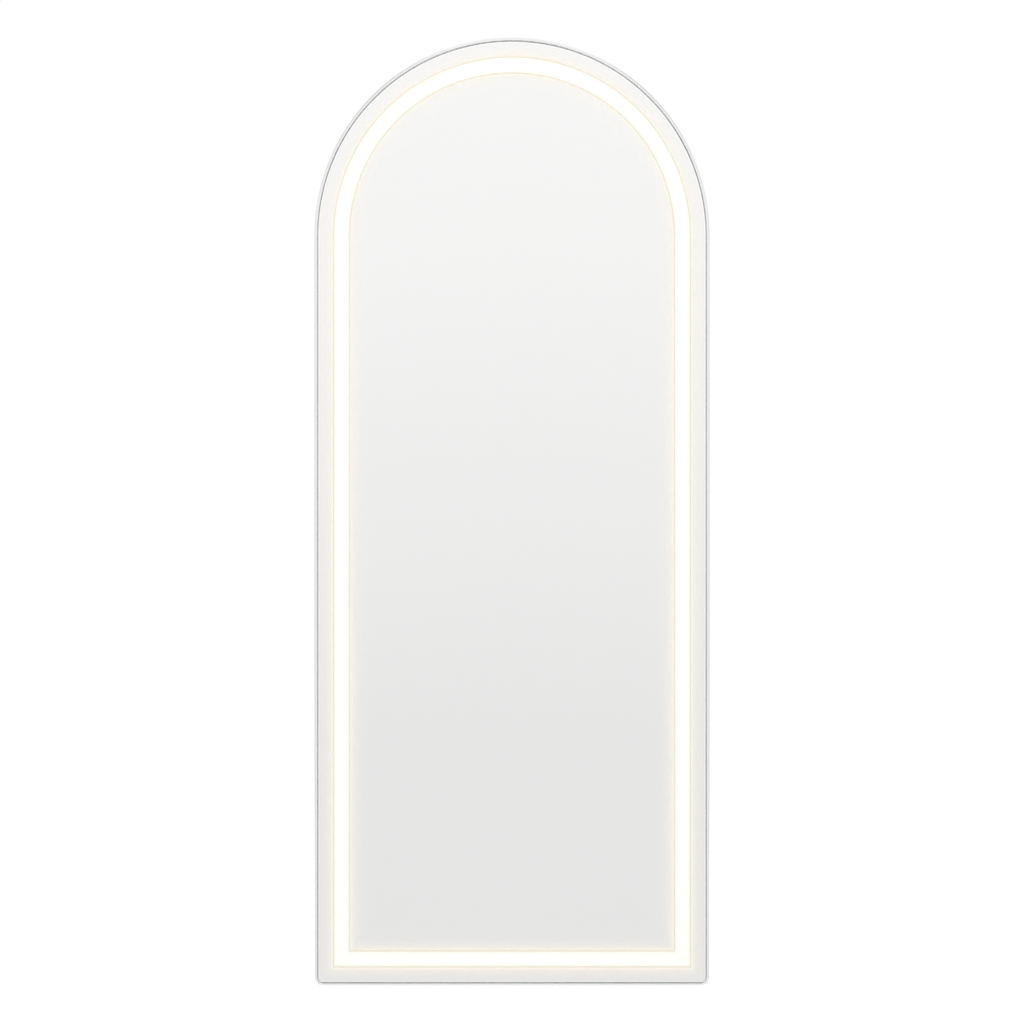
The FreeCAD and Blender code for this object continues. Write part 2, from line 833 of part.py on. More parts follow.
def input_lead():
    z_box = box_z + pole_pitch
    start = block_offset - block_width / 2
    cap = -driver_length / 2
    points = [
        at(start, z_box, block_depth), at(cap - 45, z_box, block_depth),
        at(cap - 45, driver_z, driver_lead_depth), at(cap, driver_z, driver_lead_depth),
    ]
    return lead("input_lead", points, input_lead_radius)


def earth_lead():
    z_pole = box_z - pole_pitch
    start = block_offset - block_width / 2
    level = panel_front + nut_height + earth_lead_radius
    points = [
        at(start, z_pole, block_depth), at(stud_across, z_pole, block_depth),
        at(stud_across, -stud_drop + stud_radius + lead_play, level),
    ]
    return lead("earth_lead", points, earth_lead_radius)


def channel_grommet():
    return bush(arch_radius - channel_inner, lead_depth, driver_z, channel_wall, output_lead_radius)


def lead_grommet():
    return bush(-box_width / 2, block_depth, box_z + pole_pitch, box_wall, input_lead_radius)


def earth_stud():
    """Welded stud through the panel with a hexagon nut."""
    stud = peg(stud_across, -stud_drop, stud_radius, panel_back, panel_back + stud_length)
    corners = [at(stud_across + nut_radius * math.cos(math.radians(60 * i)),
                  -stud_drop + nut_radius * math.sin(math.radians(60 * i))) for i in range(7)]
    nut = plate([Part.makePolygon(corners)], panel_front, panel_front + nut_height)
    return fused([stud, nut])


# ---- Hanger ----
def section_bar(points, length):
    """Bar of constant section along X, from (depth, z) points."""
    face = Part.Face(Part.makePolygon([at(-length / 2, z, depth) for depth, z in points + points[:1]]))
    return face.extrude(FreeCAD.Vector(length, 0, 0))


def bent(bar, inside, outside, thickness):
    """Bar of sheet with its bends rounded, from the (depth, z) places of their corners."""
    bar = bar.makeFillet(bend_radius, edges_along(bar, inside))
    return bar.makeFillet(bend_radius + thickness, edges_along(bar, outside))


def hanging_bar():
    """Z-shaped bar: its plate lies on the back panel and its hook hangs behind the rail's lip."""
    web_top = rail_top + bar_thickness
    hook_low = rail_top - bar_hook
    top = rail_top + bar_height
    section = [
        (bar_front, rail_top), (bar_front, top), (bar_back, top), (bar_back, web_top),
        (hook_back, web_top), (hook_back, hook_low), (hook_front, hook_low), (hook_front, rail_top),
    ]
    tab = bar_thickness
    length = rail_length + 2 * (bar_end_play + tab)
    bar = bent(section_bar(section, length), [(hook_front, rail_top), (bar_back, web_top)],
               [(hook_back, web_top), (bar_front, rail_top)], bar_thickness)
    tabs = [block(side * (length - tab) / 2, (rail_top + hook_low) / 2, tab, bar_hook, hook_back,
                  rail_lip_front + bar_front_play / 2)
            for side in (-1, 1)]
    holes = [peg(x, z, rivet_radius, bar_back, bar_front) for x, z in rivet_places()]
    return fused([bar] + tabs).cut(holes)


def bar_rivets():
    """Blind rivets: a flat head behind, the tail set inside the panel."""
    tail_front = panel_front + rivet_tail_height
    return Part.makeCompound([
        fused([peg(x, z, rivet_head_radius, bar_back - rivet_head_height, bar_back),
               peg(x, z, rivet_radius, bar_back, panel_front),
               peg(x, z, rivet_tail_radius, panel_front, tail_front)])
        for x, z in rivet_places()
    ])


def wall_rail():
    """Z-shaped rail: its plate is screwed to the wall and its lip stands clear of the wall."""
    section = [
        (0, -rail_below), (0, rail_above), (rail_lip_back, rail_above), (rail_lip_back, rail_top),
        (rail_lip_front, rail_top), (rail_lip_front, rail_above - rail_thickness),
        (rail_thickness, rail_above - rail_thickness), (rail_thickness, -rail_below),
    ]
    step_low = rail_above - rail_thickness
    rail = bent(section_bar(section, rail_length), [(rail_thickness, step_low), (rail_lip_back, rail_above)],
                [(0, rail_above), (rail_lip_front, step_low)], rail_thickness)
    rail = rail.makeFillet(lip_round, edges_along(rail, [(rail_lip_back, rail_top), (rail_lip_front, rail_top)]))
    holes = [drill(side * fixing_spacing / 2, 0, fixing_hole_radius, -1, rail_thickness + 1)
             for side in (-1, 1)]
    return rail.cut(holes)


PIECES = [
    mirror_glass, silver_coating, frosted_band, bonding_tape, outer_frame, frame_splice, splice_screws,
    back_panel, back_panel_screws, wall_bumpers, led_channel, channel_clips, led_strip, led_chips,
    strip_connector, diffuser, led_driver, driver_end_caps, driver_screws, terminal_box_base,
    terminal_box_lid, terminal_box_screws, terminal_block, terminal_screws, cable_clamp, clamp_screws,
    cable_grommet, output_lead, channel_grommet, input_lead, lead_grommet, earth_lead, earth_stud,
    hanging_bar, bar_rivets, wall_rail,
]

os.makedirs("parts", exist_ok=True)
for make in PIECES:
    shape = make()
    state = "" if shape.isValid() and shape.Volume > 0 else "  NOT VALID"
    print(f"{make.__name__}: {len(shape.Solids)} solids, {shape.Volume / 1000:.2f} cm3{state}")
    shape.exportStep(f"parts/{make.__name__}.step")
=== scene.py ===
import bmesh
import bpy
import math
from mathutils import Matrix, Vector


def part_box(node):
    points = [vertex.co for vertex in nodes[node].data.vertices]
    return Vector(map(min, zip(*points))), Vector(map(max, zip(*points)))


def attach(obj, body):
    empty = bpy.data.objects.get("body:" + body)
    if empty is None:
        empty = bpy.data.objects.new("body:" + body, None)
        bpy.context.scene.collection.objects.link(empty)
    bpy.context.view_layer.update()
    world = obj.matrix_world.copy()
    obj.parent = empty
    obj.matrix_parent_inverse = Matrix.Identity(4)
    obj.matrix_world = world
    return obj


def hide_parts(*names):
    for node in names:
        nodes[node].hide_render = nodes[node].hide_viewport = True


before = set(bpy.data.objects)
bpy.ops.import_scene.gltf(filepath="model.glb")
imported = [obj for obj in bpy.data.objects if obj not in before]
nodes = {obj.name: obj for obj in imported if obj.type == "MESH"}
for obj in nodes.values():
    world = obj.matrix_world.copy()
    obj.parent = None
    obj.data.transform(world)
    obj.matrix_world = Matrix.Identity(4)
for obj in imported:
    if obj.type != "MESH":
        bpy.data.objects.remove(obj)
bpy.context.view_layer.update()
scene = bpy.context.scene
mm = 0.001


# ---- Camera, floor and studio light ----
# The mirror is seen straight from the front, from the middle of its height, in a white room with a soft
# lamp in front of it and one behind. It reflects the wall ahead, darkest a little below the middle, with a
# pale screen on each side. The side walls and the outer parts of the wall behind it are dimmer.
frame_low, frame_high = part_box("outer_frame")
foot_z, top_z = frame_low.z, frame_high.z
half_width = frame_high.x
arch_z = top_z - half_width
middle_z = (foot_z + top_z) / 2
view_distance = 5.0
view_drop = 0.0001
floor_drop = 0.15
floor_radius = 14.0
wall_slope = 0.367

camera_data = bpy.data.cameras.new("camera")
camera_data.lens = 139.0
camera_data.sensor_width = 36
camera = bpy.data.objects.new("camera", camera_data)
camera.location = (0, frame_low.y - view_distance, middle_z - view_drop)
camera.rotation_euler = (math.radians(90), 0, 0)
scene.collection.objects.link(camera)
scene.camera = camera
scene.view_settings.view_transform = "Standard"


def add(tree, kind, inputs, **settings):
    """A node with its settings; each input is a value, or a socket to link from."""
    made = tree.nodes.new("ShaderNode" + kind)
    for name, value in settings.items():
        setattr(made, name, value)
    for key, value in inputs.items():
        if isinstance(value, bpy.types.NodeSocket):
            tree.links.new(value, made.inputs[key])
        else:
            made.inputs[key].default_value = value
    return made


def work_out(tree, operation, *terms):
    """The result of one Math node."""
    return add(tree, "Math", dict(enumerate(terms)), operation=operation).outputs[0]


def scaled(tree, value, low=0.0, high=1.0, to_low=0.0, to_high=1.0):
    """The result of one Map Range node."""
    return add(tree, "MapRange", {0: value, 1: low, 2: high, 3: to_low, 4: to_high}).outputs[0]


def blend(tree, share, under, over, kind="MIX"):
    """The colour of one Mix node."""
    return add(tree, "Mix", {0: share, 6: under, 7: over}, data_type="RGBA", blend_type=kind).outputs[2]


def either(tree, share, first, second):
    """A Mix Shader node between two shader nodes."""
    return add(tree, "MixShader", {0: share, 1: first.outputs[0], 2: second.outputs[0]})


def object_point(tree):
    """The point being shaded, in its object's own coordinates."""
    return add(tree, "TexCoord", {}).outputs["Object"]


def steps(tree, value, stops):
    """A colour ramp's colour, from (place, colour) stops."""
    ramp = add(tree, "ValToRGB", {0: value})
    band = ramp.color_ramp
    while len(band.elements) < len(stops):
        band.elements.new(0.5)
    for element, (place, colour) in zip(band.elements, stops):
        element.position = place
        element.color = (*colour, 1)
    return ramp.outputs[0]


def grey(level):
    """A neutral colour."""
    return (level, level, level)


world = bpy.data.worlds.new("studio")
world.use_nodes = True
scene.world = world
room = world.node_tree
room.nodes.clear()
path = add(room, "LightPath", {})
direction = add(room, "TexCoord", {}).outputs["Generated"]
along = add(room, "SeparateXYZ", {0: direction})
rise = scaled(room, along.outputs[2], -wall_slope, wall_slope)
wall = steps(room, rise, [
    (0.0, grey(0.95)), (0.20, grey(0.93)), (0.34, grey(0.805)), (0.42, grey(0.815)), (0.50, grey(0.868)),
    (0.60, grey(0.933)), (0.66, grey(0.960)), (1.0, grey(0.89)),
])
aside = work_out(room, "ABSOLUTE", along.outputs[0])
screens = steps(room, aside, [
    (0.0, grey(0.893)), (0.09, grey(0.893)), (0.18, grey(1.0)), (0.32, grey(0.95)), (0.43, grey(0.70)),
    (0.56, grey(0.68)), (0.70, grey(0.84)), (0.84, grey(0.86)), (1.0, grey(0.46)),
])
behind = steps(room, along.outputs[1], [
    (0.0, grey(1.0)), (0.5, grey(0.76)), (0.70, grey(0.80)), (0.95, grey(1.0)),
])
level = work_out(room, "MULTIPLY", screens, behind)
mirrored = blend(room, 1.0, wall, level, "MULTIPLY")
lit = add(room, "Background", {"Color": (1, 1, 1, 1), "Strength": 0.46})
plain = add(room, "Background", {"Color": (1, 1, 1, 1), "Strength": 1.0})
seen = add(room, "Background", {"Color": mirrored, "Strength": 1.12})
in_gloss = work_out(room, "MAXIMUM", path.outputs["Is Glossy Ray"], path.outputs["Is Transmission Ray"])
reflected = either(room, in_gloss, lit, seen)
shown = either(room, path.outputs["Is Camera Ray"], reflected, plain)
add(room, "OutputWorld", {0: shown.outputs[0]})


def soft_lamp(name, position, target, size, power):
    """A square lamp aimed at a target. The lamp itself is neither seen nor mirrored."""
    lamp = bpy.data.lights.new(name, "AREA")
    lamp.shape = "SQUARE"
    lamp.size = size
    lamp.energy = power
    item = bpy.data.objects.new(name, lamp)
    item.location = position
    item.rotation_euler = (Vector(target) - Vector(position)).to_track_quat("-Z", "Y").to_euler()
    item.visible_camera = False
    item.visible_glossy = False
    item.visible_transmission = False
    scene.collection.objects.link(item)


middle = (0, 0, middle_z)
soft_lamp("front_lamp", (-1.0, -1.9, 2.6), middle, 2.2, 72)
soft_lamp("rear_lamp", (2.4, 1.6, 2.2), middle, 0.9, 120)


def surface(name, roughness, metallic=0.0):
    """A material with a Principled shader, whose plain numbers are set on the shader itself."""
    material = bpy.data.materials.new(name)
    material.use_nodes = True
    tree = material.node_tree
    tree.nodes.clear()
    shader = add(tree, "BsdfPrincipled", {"Roughness": roughness, "Metallic": metallic})
    add(tree, "OutputMaterial", {0: shader.outputs[0]})
    return material, tree, shader


def into(tree, shader, **sources):
    """Links sockets to a shader's inputs, named with underscores for spaces."""
    for name, source in sources.items():
        tree.links.new(source, shader.inputs[name.replace("_", " ")])


floor_finish, tree, shader = surface("studio_floor", 0.7)
grain = add(tree, "TexNoise", {"Scale": 40.0, "Detail": 4.0})
into(tree, shader, Base_Color=steps(tree, grain.outputs[0], [(0.3, grey(0.80)), (0.7, grey(0.82))]))
shader.inputs["Specular IOR Level"].default_value = 0.0
floor_path = add(tree, "LightPath", {})
floor_glow = add(tree, "Emission", {"Color": (1, 1, 1, 1), "Strength": 0.70})
clear = add(tree, "BsdfTransparent", {})
bright = add(tree, "AddShader", {0: shader.outputs[0], 1: floor_glow.outputs[0]})
by_camera = either(tree, floor_path.outputs["Is Camera Ray"], shader, bright)
not_held = work_out(tree, "MAXIMUM", floor_path.outputs["Is Glossy Ray"],
                    floor_path.outputs["Is Transmission Ray"])
floor_out = either(tree, not_held, by_camera, clear)
tree.links.new(floor_out.outputs[0], tree.nodes["Material Output"].inputs[0])

sheet = bmesh.new()
bmesh.ops.create_circle(sheet, cap_ends=True, segments=96, radius=floor_radius)
floor_mesh = bpy.data.meshes.new("studio_floor")
sheet.to_mesh(floor_mesh)
sheet.free()
floor_mesh.materials.append(floor_finish)
floor = bpy.data.objects.new("studio_floor", floor_mesh)
floor.location = (0, 0, foot_z - floor_drop)
scene.collection.objects.link(floor)


# ---- Glass ----
# One sheet of 5 mm clear float glass with a full half-round top, its edges ground and polished to a small
# arris. The sheet looks clear from the front and green where the light runs along it to its edge.
def dress(material, *names):
    """Gives a finish to CAD nodes."""
    for name in names:
        for slot in nodes[name].material_slots:
            slot.material = material


def group(name, inputs, outputs):
    """An empty shader node group with named inputs and outputs."""
    made = bpy.data.node_groups.new(name, "ShaderNodeTree")
    for label, kind, value in inputs:
        socket = made.interface.new_socket(label, in_out="INPUT", socket_type="NodeSocket" + kind)
        socket.default_value = value
    for label, kind in outputs:
        made.interface.new_socket(label, in_out="OUTPUT", socket_type="NodeSocket" + kind)
    return made, made.nodes.new("NodeGroupInput").outputs, made.nodes.new("NodeGroupOutput").inputs


def place(tree, made, **values):
    """A group in a material, with its own values."""
    node = tree.nodes.new("ShaderNodeGroup")
    node.node_tree = made
    for name, value in values.items():
        socket = node.inputs[name.replace("_", " ")]
        if isinstance(value, bpy.types.NodeSocket):
            tree.links.new(value, socket)
        else:
            socket.default_value = value
    return node.outputs


line_density = 2600.0
line_stretch = 3.0
outline_inset, given, out = group(
    "OutlineInset",
    [("Half Width", "Float", half_width), ("Arch Height", "Float", arch_z), ("Foot Height", "Float", foot_z)],
    [("Inset", "Float"), ("Lines", "Vector")],
)
x, y, z = add(outline_inset, "SeparateXYZ", {0: object_point(outline_inset)}).outputs
past_arch = work_out(outline_inset, "SUBTRACT", z, given["Arch Height"])
above = work_out(outline_inset, "MAXIMUM", past_arch, 0.0)
across_squared = work_out(outline_inset, "MULTIPLY", x, x)
above_squared = work_out(outline_inset, "MULTIPLY", above, above)
reach = work_out(outline_inset, "SQRT", work_out(outline_inset, "ADD", across_squared, above_squared))
from_side = work_out(outline_inset, "SUBTRACT", given["Half Width"], reach)
from_foot = work_out(outline_inset, "SUBTRACT", z, given["Foot Height"])
inset = work_out(outline_inset, "MINIMUM", from_side, from_foot)
outline_inset.links.new(inset, out["Inset"])
along_outline = work_out(outline_inset, "ADD", x, z)
lines = add(outline_inset, "CombineXYZ", {
    0: work_out(outline_inset, "MULTIPLY", inset, line_density),
    1: work_out(outline_inset, "MULTIPLY", y, line_density),
    2: work_out(outline_inset, "MULTIPLY", along_outline, line_stretch),
})
outline_inset.links.new(lines.outputs[0], out["Lines"])

glass_inset = 4.0 * mm
glass_arris = 0.2 * mm
glass_green = (0.66, 0.80, 0.74)
glass_clear = (1.0, 1.0, 0.999)
glass, tree, shader = surface("clear_glass", 0.0)
shader.inputs["IOR"].default_value = 1.5
shader.inputs["Transmission Weight"].default_value = 1.0
glass_edge = place(tree, outline_inset)["Inset"]
edge_share = scaled(tree, glass_edge, glass_inset, glass_inset + glass_arris)
into(tree, shader, Base_Color=steps(tree, edge_share, [(0.0, glass_green), (1.0, glass_clear)]))
shadow_ray = add(tree, "LightPath", {}).outputs["Is Shadow Ray"]
see_through = add(tree, "BsdfTransparent", {})
glass_out = either(tree, shadow_ray, shader, see_through)
tree.links.new(glass_out.outputs[0], tree.nodes["Material Output"].inputs[0])
dress(glass, "mirror_glass")


# ---- Silvering ----
# A film of silver under protective paint on the back of the glass, stripped where the light comes through.
# Beside the stripped band the silvering carries a soft warm painted glow, emission that drops to about a
# third every 6 mm and dims the mirror under it, and near the glass edge a faint painted highlight. Painted
# shade darkens the silvering along its outer edge, where the gap between frame and glass lies in shadow.
band_outer = 23.2 * mm
band_inner = 45.3 * mm
painted_glow_reach = 5.8 * mm
painted_glow_strength = 0.85
painted_glow_colour = (1.0, 0.945, 0.83)
painted_edge_reach = 6.0 * mm
painted_edge_highlight_colour = (0.075, 0.072, 0.068)
black = (0, 0, 0, 1)

silver, tree, shader = surface("silvering", 0.0, 1.0)
inset = place(tree, outline_inset)["Inset"]
# Painted glow: warm emission on the silvering, fading away from the light band, with the mirror dimmed by the
# same share.
outward = work_out(tree, "SUBTRACT", band_outer, inset)
inward = work_out(tree, "SUBTRACT", inset, band_inner)
away = work_out(tree, "MAXIMUM", outward, inward)
painted_glow_fade = work_out(tree, "EXPONENT", work_out(tree, "DIVIDE", away, -painted_glow_reach))
painted_glow_share = work_out(tree, "MULTIPLY", painted_glow_fade, painted_glow_strength)
painted_glow_light = blend(tree, painted_glow_share, black, (*painted_glow_colour, 1))
# Painted shade: the silvering is darkened along its outer rim, with a faint darker ring further in.
from_edge = work_out(tree, "SUBTRACT", inset, glass_inset)
painted_edge_place = work_out(tree, "DIVIDE", from_edge, painted_edge_reach)
painted_edge_shade = steps(tree, painted_edge_place, [
    (0.0, grey(0.45)), (0.12, grey(0.45)), (0.16, grey(1.0)), (0.44, grey(1.0)), (0.50, grey(0.985)),
    (0.62, grey(0.985)), (0.75, grey(1.0)),
])
# Painted highlight: a faint warm emission line on the silvering just inside the painted shade.
painted_edge_highlight = steps(tree, painted_edge_place, [
    (0.14, grey(0.0)), (0.20, painted_edge_highlight_colour), (0.33, painted_edge_highlight_colour), (0.42, grey(0.0)),
])
painted_glow_and_edge_highlight = blend(tree, 1.0, painted_glow_light, painted_edge_highlight, "ADD")
clouding = add(tree, "TexNoise", {"Scale": 3.0, "Detail": 2.0})
mirror_tone = steps(tree, clouding.outputs[0], [(0.3, (0.976, 0.974, 0.972)), (0.7, (0.980, 0.978, 0.976))])
mirror_tone_with_painted_shade = blend(tree, 1.0, mirror_tone, painted_edge_shade, "MULTIPLY")
mirror_tone_under_painted_glow = blend(tree, painted_glow_share, mirror_tone_with_painted_shade, black)
into(tree, shader, Base_Color=mirror_tone_under_painted_glow, Emission_Color=painted_glow_and_edge_highlight)
shader.inputs["Emission Strength"].default_value = 1.0
dress(silver, "silver_coating")


# ---- Etched light band ----
# The stripped band is sandblasted, so it shows as an even milky white. Its light is a painted glow, emission
# on the band itself that stands for the strip lit behind it, and it falls off at both of its edges into a
# narrow warm line.
band_middle = (band_outer + band_inner) / 2
band_half = (band_inner - band_outer) / 2
painted_glow_white = (0.940, 0.940, 0.912)
painted_glow_cream = (0.915, 0.900, 0.800)
painted_glow_tan = (0.765, 0.715, 0.610)


def from_band_middle(tree):
    """0 at the middle of the light band's width, 1 at its edges."""
    inset = place(tree, outline_inset)["Inset"]
    off_middle = work_out(tree, "ABSOLUTE", work_out(tree, "SUBTRACT", inset, band_middle))
    return work_out(tree, "DIVIDE", off_middle, band_half)


etched, tree, shader = surface("etched_light", 0.65)
# Painted glow: white in the middle, cream then tan at the edges; the base colour is the same tone at about a
# third.
painted_band_glow = steps(tree, from_band_middle(tree), [
    (0.0, painted_glow_white), (0.45, painted_glow_white), (0.820, painted_glow_cream), (0.835, painted_glow_tan), (1.0, painted_glow_tan),
])
frost = add(tree, "TexNoise", {"Scale": 2600.0, "Detail": 2.0})
etch_bump = add(tree, "Bump", {"Strength": 0.15, "Distance": 0.05 * mm, "Height": frost.outputs[0]})
skin = blend(tree, 0.65, painted_band_glow, black)
into(tree, shader, Base_Color=skin, Emission_Color=painted_band_glow, Normal=etch_bump.outputs[0])
shader.inputs["Emission Strength"].default_value = 0.835
dress(etched, "frosted_band")


# ---- Bonding tape ----
# Closed-cell polyethylene foam tape, 1 mm thick, with adhesive on both faces. It runs round the frame's
# ledge and holds the glass.
foam, tree, shader = surface("foam_tape", 0.85)
cells = add(tree, "TexVoronoi", {"Scale": 1800.0})
cell_bump = add(tree, "Bump", {"Strength": 0.5, "Distance": 0.1 * mm, "Height": cells.outputs[0]})
into(tree, shader, Base_Color=steps(tree, cells.outputs[0], [(0.1, grey(0.45)), (0.8, grey(0.62))]),
     Normal=cell_bump.outputs[0])
dress(foam, "bonding_tape")


# ---- Frame, its splice and its screws ----
# One aluminium extrusion, bent to the outline and closed at the foot by an inner plate and two grub screws.
# Satin anodised: pale and even, with the faint lines that the die leaves along its length.
finish_results = [("Colour", "Color"), ("Roughness", "Float"), ("Height", "Float")]


def put_out(tree, out, colour, roughness, height):
    """Links what a finish group puts out."""
    for name, socket in (("Colour", colour), ("Roughness", roughness), ("Height", height)):
        tree.links.new(socket, out[name])


def wear(tree, shader, skin, strength=0.0, depth=0.0):
    """Gives a shader a finish group's colour and roughness, and its height as a bump."""
    into(tree, shader, Base_Color=skin["Colour"], Roughness=skin["Roughness"])
    if strength:
        bump = add(tree, "Bump", {"Strength": strength, "Distance": depth, "Height": skin["Height"]})
        into(tree, shader, Normal=bump.outputs[0])


extrusion, given, out = group(
    "ExtrudedMetal",
    [("Colour", "Color", (0.9, 0.9, 0.9, 1)), ("Sheen", "Float", 0.3), ("Lines", "Vector", (0, 0, 0))],
    finish_results,
)
die_lines = add(extrusion, "TexNoise", {"Vector": given["Lines"], "Scale": 1.0, "Detail": 3.0})
cloud = add(extrusion, "TexNoise", {"Scale": 14.0, "Detail": 3.0})
handled = scaled(extrusion, cloud.outputs[0], 0.35, 0.75, -0.03, 0.06)
line_share = scaled(extrusion, die_lines.outputs[0], 0.3, 0.7, 0.965, 1.0)
put_out(extrusion, out, blend(extrusion, 1.0, given["Colour"], line_share, "MULTIPLY"),
        work_out(extrusion, "ADD", given["Sheen"], handled), die_lines.outputs[0])

anodised, tree, shader = surface("frame_aluminium", 0.3, 1.0)
lines = place(tree, outline_inset)["Lines"]
metal = place(tree, extrusion, Colour=(0.985, 0.985, 0.988, 1), Sheen=0.24, Lines=lines)
wear(tree, shader, metal, 0.12, 0.03 * mm)
dress(anodised, "outer_frame")

milled, tree, shader = surface("splice_aluminium", 0.35, 1.0)
drawn = add(tree, "VectorMath", {0: object_point(tree), 1: (20.0, 3000.0, 3000.0)}, operation="MULTIPLY")
metal = place(tree, extrusion, Colour=(0.80, 0.80, 0.81, 1), Sheen=0.38, Lines=drawn.outputs[0])
wear(tree, shader, metal, 0.3, 0.04 * mm)
dress(milled, "frame_splice")

zinc_group, given, out = group(
    "ZincPlate",
    [("Colour", "Color", (0.7, 0.71, 0.72, 1)), ("Grain Size", "Float", 120.0), ("Sheen", "Float", 0.3)],
    finish_results,
)
spot = object_point(zinc_group)
spangle = add(zinc_group, "TexVoronoi", {"Vector": spot, "Scale": given["Grain Size"], "Randomness": 1.0})
spangle_tone = add(zinc_group, "SeparateColor", {0: spangle.outputs["Color"]}).outputs[0]
fine = add(zinc_group, "TexNoise", {"Vector": spot, "Scale": 900.0, "Detail": 4.0})
tone_share = scaled(zinc_group, spangle_tone, to_low=0.90)
spread = scaled(zinc_group, spangle_tone, to_low=-0.06, to_high=0.08)
put_out(zinc_group, out, blend(zinc_group, 1.0, given["Colour"], tone_share, "MULTIPLY"),
        work_out(zinc_group, "ADD", given["Sheen"], spread), fine.outputs[0])


def zinc_finish(name, colour, grain, sheen):
    """Bright zinc plating, with its grain size and sheen."""
    material, tree, shader = surface(name, 0.3, 1.0)
    metal = place(tree, zinc_group, Colour=(*colour, 1), Grain_Size=grain, Sheen=sheen)
    wear(tree, shader, metal, 0.2, 0.03 * mm)
    return material


screw_zinc = zinc_finish("screw_zinc", (0.74, 0.75, 0.77), 900.0, 0.26)


def repeats(name, reach):
    """The box of each piece in a node that repeats, where reach is longer than one but short of the next."""
    clusters = []
    for vertex in nodes[name].data.vertices:
        for cluster in clusters:
            if (vertex.co - cluster[0]).length < reach:
                cluster.append(vertex.co)
                break
        else:
            clusters.append([vertex.co])
    boxes = []
    for cluster in clusters:
        low = Vector([min(point[i] for point in cluster) for i in range(3)])
        high = Vector([max(point[i] for point in cluster) for i in range(3)])
        boxes.append((low, high))
    return boxes


def as_mesh(shape, name):
    """A mesh from a closed shape, its faces turned outwards."""
    bmesh.ops.recalc_face_normals(shape, faces=shape.faces)
    mesh = bpy.data.meshes.new(name)
    shape.to_mesh(mesh)
    shape.free()
    return mesh


def quarter(parts):
    """The angles of a quarter turn in equal parts."""
    return [math.radians(90 / parts * i) for i in range(parts + 1)]


def rounded(edge, radius, parts):
    """A profile's quarter round, from a face at height 0 out to its edge."""
    return [(edge - radius + radius * math.sin(a), -radius * (1 - math.cos(a))) for a in quarter(parts)]


def lathe(profile, turns):
    """A mesh turned about Z, from (radius, height) points; a radius of 0 closes an end."""
    shape = bmesh.new()
    rings = []
    for radius, height in profile:
        if radius < 1e-7:
            rings.append([shape.verts.new((0, 0, height))])
        else:
            rings.append([shape.verts.new((radius * math.cos(math.tau * i / turns),
                                           radius * math.sin(math.tau * i / turns), height))
                          for i in range(turns)])
    for lower, upper in zip(rings, rings[1:]):
        for i in range(turns):
            j = (i + 1) % turns
            corners = [lower[i % len(lower)], lower[j % len(lower)],
                       upper[j % len(upper)], upper[i % len(upper)]]
            shape.faces.new(list(dict.fromkeys(corners)))
    return as_mesh(shape, "turned")


def prism(sides, radius, top, bottom, narrow=1.0, across=1.0):
    """A cutter with flat sides, narrower at its bottom."""
    shape = bmesh.new()
    rings = []
    for height, size in ((top, 1.0), (bottom, narrow)):
        angles = [math.tau * (i + 0.5) / sides for i in range(sides)]
        rings.append([shape.verts.new((radius * size * math.cos(a),
                                       across * radius * size * math.sin(a), height))
                      for a in angles])
    shape.faces.new(rings[0])
    shape.faces.new(rings[1])
    for i in range(sides):
        j = (i + 1) % sides
        shape.faces.new([rings[0][i], rings[0][j], rings[1][j], rings[1][i]])
    return as_mesh(shape, "cutter")


def cut_from(mesh, cutters):
    """A mesh with recesses cut out of it."""
    blank = bpy.data.objects.new("blank", mesh)
    scene.collection.objects.link(blank)
    tools = []
    for i, (cutter, turn) in enumerate(cutters):
        tool = bpy.data.objects.new(f"cutter_{i}", cutter)
        tool.rotation_euler = (0, 0, turn)
        scene.collection.objects.link(tool)
        cut = blank.modifiers.new(f"cut_{i}", "BOOLEAN")
        cut.operation = "DIFFERENCE"
        cut.solver = "EXACT"
        cut.object = tool
        tools.append(tool)
    bpy.context.view_layer.update()
    result = bpy.data.meshes.new_from_object(blank.evaluated_get(bpy.context.evaluated_depsgraph_get()))
    for item in [blank] + tools:
        bpy.data.objects.remove(item)
    return result


def set_in_place(name, mesh, matrices, material, node):
    """One object from copies of a mesh, standing for a CAD node of the mirror."""
    shape = bmesh.new()
    for matrix in matrices:
        first = len(shape.verts)
        shape.from_mesh(mesh)
        shape.verts.ensure_lookup_table()
        bmesh.ops.transform(shape, matrix=matrix, verts=shape.verts[first:])
    for face in shape.faces:
        face.smooth = True
        face.material_index = 0
    whole = bpy.data.meshes.new(name)
    shape.to_mesh(whole)
    shape.free()
    whole.materials.clear()
    whole.materials.append(material)
    whole.set_sharp_from_angle(angle=math.radians(35))
    item = bpy.data.objects.new(name, whole)
    scene.collection.objects.link(item)
    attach(item, "mirror")
    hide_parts(node)


def square_to_wall(low, high):
    """Puts a turned piece's axis square to the wall, its top at the wall side of a box."""
    top = ((low.x + high.x) / 2, high.y, (low.z + high.z) / 2)
    return Matrix.Translation(top) @ Matrix.Rotation(math.radians(-90), 4, "X")


grub_radius = 1.5 * mm
grub_length = 6.5 * mm
grub_root = grub_radius * 0.86
grub_flank = 0.25 * mm
grub_sink = 0.02 * mm
socket_radius = 0.95 * mm
socket_depth = 1.8 * mm
thread = []
for i in range(11):
    crest = -(0.6 + 0.5 * i) * mm
    thread += [(grub_radius, crest), (grub_root, crest - grub_flank)]
grub = cut_from(
    lathe([(0, 0), (grub_radius - 0.2 * mm, 0), (grub_radius, -0.25 * mm)] + thread[:-1]
          + [(grub_radius * 0.7, -grub_length), (0, -grub_length)], 32),
    [(prism(6, socket_radius, 0.5 * mm, -socket_depth), 0.0)],
)
grub_places = [Matrix.Translation(((low.x + high.x) / 2, (low.y + high.y) / 2, low.z + grub_sink))
               @ Matrix.Rotation(math.pi, 4, "X") for low, high in repeats("splice_screws", 9 * mm)]
set_in_place("splice_grub_screws", grub, grub_places, screw_zinc, "splice_screws")


